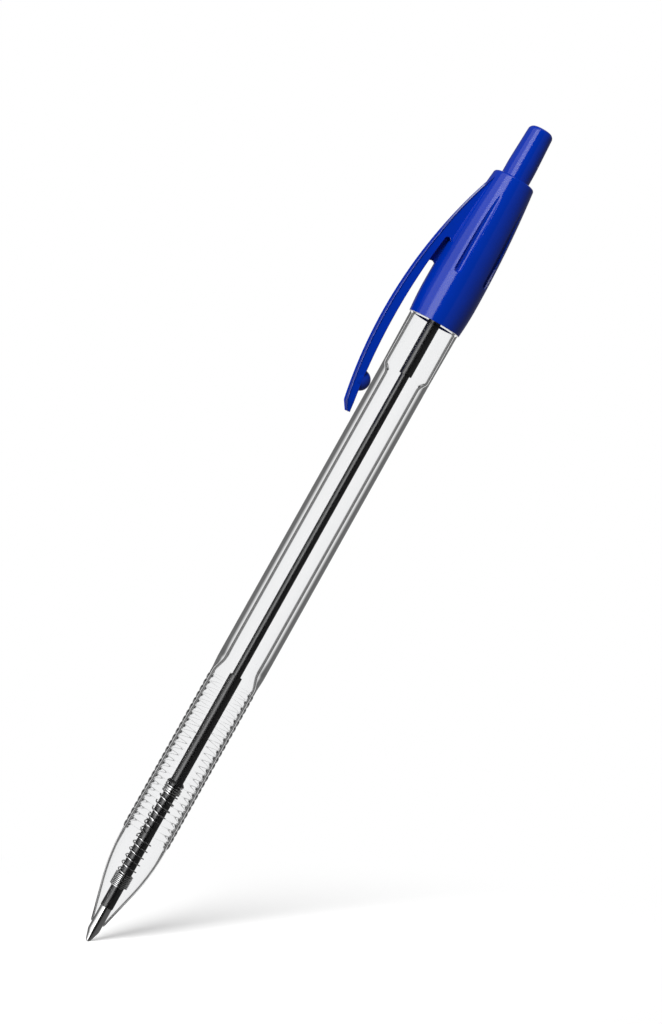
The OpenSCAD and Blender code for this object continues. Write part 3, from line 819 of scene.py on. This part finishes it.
class PEN_OT_studio(bpy.types.Operator):
    """Set the white floor, the surrounding light, the lamps and the camera"""

    bl_idname = "pen.studio"
    bl_label = "Studio"

    def execute(self, context):
        scene = context.scene
        p = scene.pen_studio
        scene.view_settings.view_transform = "Standard"
        ahead = Vector((-np.sin(p.turn), np.cos(p.turn), 0))
        aside = Vector((ahead.y, -ahead.x, 0))
        axis = Vector((0, 0, 1))
        right = aside * np.cos(p.lean) + axis * np.sin(p.lean)
        up = axis * np.cos(p.lean) - aside * np.sin(p.lean)

        camera = bpy.data.objects.new("camera", bpy.data.cameras.new("camera"))
        camera.data.lens = p.lens
        camera.data.clip_start, camera.data.clip_end = 0.01, 10
        turned = Matrix((right, up, -ahead)).transposed().to_4x4()
        place = aside * p.shift + axis * p.aim - ahead * p.distance
        camera.matrix_world = Matrix.Translation(place) @ turned
        scene.collection.objects.link(camera)
        scene.camera = camera

        # The key stands above the camera, a little to its left; the fill is behind, to the right
        self.lamp(scene, "key", up - 0.13 * right - ahead, p.key)
        self.lamp(scene, "fill", ahead + 0.47 * right + 0.1 * up, p.fill)
        self.surroundings(scene, ahead)
        self.floor(scene, right, up, ahead)
        return {"FINISHED"}

    def lamp(self, scene, name, away, watts):
        """A round lamp some way from the writing point, which no reflection shows."""
        width, distance = 0.26, 0.5
        made = bpy.data.objects.new(name, bpy.data.lights.new(name, "AREA"))
        made.data.shape, made.data.size, made.data.energy = "DISK", width, watts
        away = away.normalized()
        turned = away.to_track_quat("Z", "Y").to_matrix().to_4x4()
        made.matrix_world = Matrix.Translation(away * distance) @ turned
        made.visible_glossy = made.visible_transmission = made.visible_camera = False
        scene.collection.objects.link(made)

    def surroundings(self, scene, ahead):
        """White behind the pen and a tall soft box at its front left, grey elsewhere.

        The level goes by the angle round the pen and falls off towards the roof and the floor, more
        sharply through clear plastic. The camera itself sees white, and matt faces an even level.
        """
        world = bpy.data.worlds.new("studio")
        world.use_nodes = True
        world.cycles.sampling_method = "NONE"
        scene.world = world
        tree = world.node_tree
        wire = Wire(tree)
        way = wire.node("ShaderNodeTexCoord", out="Generated")
        x = wire.node("ShaderNodeSeparateXYZ", {}, {0: way})
        y, z = x.output("Y"), x.output("Z")
        camera = wire.node("ShaderNodeLightPath", out="Is Camera Ray")
        through, diffuse = camera.output("Is Transmission Ray"), camera.output("Is Diffuse Ray")

        # The turn is a part of a round: a half is straight behind the pen, and more is to the left
        bearing = wire.math("ARCTAN2", y, x) / (2 * np.pi)
        start = np.arctan2(ahead.y, ahead.x) / (2 * np.pi)
        turn = wire.math("FRACT", bearing - start + 0.5)

        # Through the ribs the white is narrower, and darker towards its sides
        narrower, darker = 0.6, 0.75
        ribs = step(wire, z, -0.06, -0.085) * step(wire, z, -0.165, -0.14) * through
        near = step(wire, wire.math("ABSOLUTE", turn - 0.5), 0.07, 0.045)
        turn = (turn - 0.5) * (1 + ribs * near * narrower) + 0.5
        sides = step(wire, wire.math("ABSOLUTE", turn - 0.5), 0.03, 0.045, end=darker)

        # The light's level at each angle in degrees from straight behind the pen
        levels = (
            (-180, 0.02), (-152, 0.02), (-148, 0.12), (-12.5, 0.16), (-8.5, 1.0),
            (8.5, 1.0), (12.5, 0.14), (98, 0.25), (101, 1.2), (131, 1.2),
            (133, 3.3), (150, 3.6), (161, 3.6), (163, 0.02), (180, 0.02),
        )
        most, grey, even = 4.0, 0.16, 0.13
        stops = [((degrees + 180) / 360, level / most) for degrees, level in levels]
        level = wire.node("ShaderNodeValToRGB", {"stops": stops}, {0: turn}) * most
        level = level * (1 - ribs * sides)
        # The soft box shows in gloss, but not through the barrel
        level = level + (grey - level) * (step(wire, turn, 0.70, 0.74) * through)
        belt = step(wire, z * z, 0.65, 0.3, start=0.55)
        low_edge = step(wire, z, -0.27, -0.20, start=0.3)
        high_edge = step(wire, z, 0.26, 0.19, start=0.3)
        level = level * (belt + (low_edge * high_edge - belt) * through)

        def card(bearing, half, low, high):
            """A white card that another view has behind the pen, by angles in degrees."""
            soft = 2
            toward, half_low, half_high = np.radians((bearing, half + soft, half - soft))
            edges = np.sin(np.radians((low - soft, low + soft, high + soft, high - soft)))
            flat = wire.math("SQRT", x * x + y * y)
            beside = (x * np.cos(toward) + y * np.sin(toward)) / flat
            wide = step(wire, beside, np.cos(half_low), np.cos(half_high))
            return wide * step(wire, z, *edges[:2]) * step(wire, z, *edges[2:])

        cards = card(180, 10.5, -13, 4) + card(135, 10.5, -35, -18) + card(315, 10.5, -26, -8)
        cards = cards + step(wire, z, -0.8, -0.9)
        seen = wire.math("MAXIMUM", level, cards * through)
        strength = seen * (1 - camera) * (1 - diffuse) + camera + diffuse * even
        light = wire.node("ShaderNodeBackground", {}, {"Color": (1, 1, 1, 1), "Strength": strength})
        light.to(tree.nodes["World Output"].inputs["Surface"])
        tree.nodes.remove(tree.nodes["Background"])

    def floor(self, scene, right, up, ahead):
        """A white sheet just under the writing point, level in the picture.

        Near the point it is paper, which shows the soft shadow, with a glow that makes the lit part
        white; further off it is white by itself, and from below it is not seen.
        """
        made = bpy.data.materials.new("white_floor")
        made.use_nodes = True
        tree = made.node_tree
        tree.nodes.remove(tree.nodes["Principled BSDF"])
        wire = Wire(tree)

        def glow(strength):
            """White light from the sheet itself."""
            sockets = {"Color": (1, 1, 1, 1), "Strength": strength}
            return wire.node("ShaderNodeEmission", {}, sockets)

        place = wire.node("ShaderNodeTexCoord", out="Object")
        far = wire.node("ShaderNodeVectorMath", {"operation": "LENGTH"}, {0: place}, "Value")
        paper = wire.node("ShaderNodeBsdfDiffuse", {}, {"Color": (0.9, 0.9, 0.9, 1)})
        lit = wire.node("ShaderNodeAddShader", {}, {0: paper, 1: glow(0.395)})
        fade = step(wire, far, 0.03, 0.1)
        top = wire.node("ShaderNodeMixShader", {}, {0: fade, 1: lit, 2: glow(1.0)})
        back = wire.node("ShaderNodeNewGeometry", out="Backfacing")
        none = wire.node("ShaderNodeBsdfTransparent")
        both = wire.node("ShaderNodeMixShader", {}, {0: back, 1: top, 2: none})
        both.to(tree.nodes["Material Output"].inputs["Surface"])

        gap, across, deep = 2e-5, np.linspace(-0.25, 0.25, 24), np.linspace(-0.2, 0.35, 24)
        u, v = (grid[..., None] for grid in np.meshgrid(across, deep, indexing="ij"))
        points = u * np.array(right) + v * np.array(ahead) - gap * np.array(up)
        vertices, faces = skin(points, closed_columns=False)
        mesh = bpy.data.meshes.new("floor")
        mesh.from_pydata(vertices, [], faces[:, ::-1])
        mesh.materials.append(made)
        sheet = bpy.data.objects.new("floor", mesh)
        scene.collection.objects.link(sheet)
        sheet.visible_diffuse = sheet.visible_glossy = False
        sheet.visible_transmission = sheet.visible_shadow = False


class PEN_PT_panel(bpy.types.Panel):
    """Pieces of the pen"""

    bl_idname = "PEN_PT_panel"
    bl_label = "Ballpoint Pen"
    bl_space_type = "VIEW_3D"
    bl_region_type = "UI"
    bl_category = "Pen"

    def draw(self, context):
        for operator in OPERATORS:
            self.layout.operator(operator.bl_idname)


GROUPS = {
    "pen_barrel": PenBarrelSizes,
    "pen_cap": PenCapSizes,
    "pen_refill": PenRefillSizes,
    "pen_spring": PenSpringSizes,
    "pen_inside": PenInsideColours,
    "pen_studio": PenStudioSizes,
}
OPERATORS = (
    PEN_OT_studio,
    PEN_OT_barrel,
    PEN_OT_cap,
    PEN_OT_button,
    PEN_OT_refill,
    PEN_OT_spring,
    PEN_OT_inside,
)
CLASSES = (*GROUPS.values(), *OPERATORS, PEN_PT_panel)


def register():
    """Add the classes, and the groups of sizes to the scene."""
    for made in CLASSES:
        bpy.utils.register_class(made)
    for name, group in GROUPS.items():
        setattr(bpy.types.Scene, name, PointerProperty(type=group))


def unregister():
    """Take away what register added."""
    for name in GROUPS:
        delattr(bpy.types.Scene, name)
    for made in reversed(CLASSES):
        bpy.utils.unregister_class(made)


def main():
    """Build everything in order."""
    register()
    bpy.ops.pen.studio()
    bpy.ops.pen.barrel()
    bpy.ops.pen.cap()
    bpy.ops.pen.button()
    bpy.ops.pen.refill()
    bpy.ops.pen.spring()
    bpy.ops.pen.inside()


if __name__ == "__main__":
    main()
